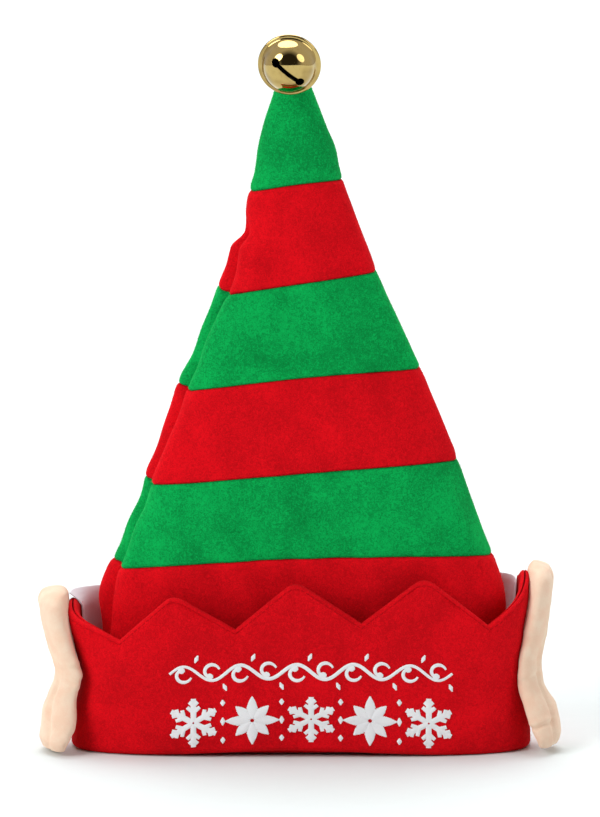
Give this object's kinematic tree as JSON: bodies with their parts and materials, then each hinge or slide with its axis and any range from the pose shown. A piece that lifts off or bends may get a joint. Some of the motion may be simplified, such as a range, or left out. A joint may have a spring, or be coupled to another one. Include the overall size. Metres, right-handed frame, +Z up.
{
  "type": "elf hat with ears and a bell",
  "caption": "Pointed hat of striped red and green felt with a turned-up zigzag cuff, stuffed ears at the sides and a gold jingle bell at its tip.",
  "frame": {"origin": "centre of the hat's box, on the surface that its rim stands on", "axes": "+Z up, from the head opening to the bell; -Y to the front, which the bell's slot faces; +X to the right as seen from the front"},
  "size_m": [0.3173, 0.0958, 0.4283],
  "materials": {
    "red_felt": "brushed felt, matt",
    "green_felt": "brushed felt, matt",
    "ear_plush": "short-pile plush, matt",
    "white_plastic": "smooth, matt",
    "gold_bell": "polished, gold plated",
    "pellet_steel": "plain steel ball"
  },
  "bodies": {
    "root": {"crown_stripe_1": "red_felt", "crown_stripe_2": "green_felt", "crown_stripe_3": "red_felt", "crown_stripe_4": "green_felt", "crown_stripe_5": "red_felt", "crown_stripe_6": "green_felt", "cuff_outer": "red_felt", "cuff_lining": "red_felt", "stiffener": "white_plastic", "ear_left": "ear_plush", "ear_right": "ear_plush", "bell_shell": "gold_bell", "bell_pellet": "pellet_steel"}
  },
  "joints": []
}
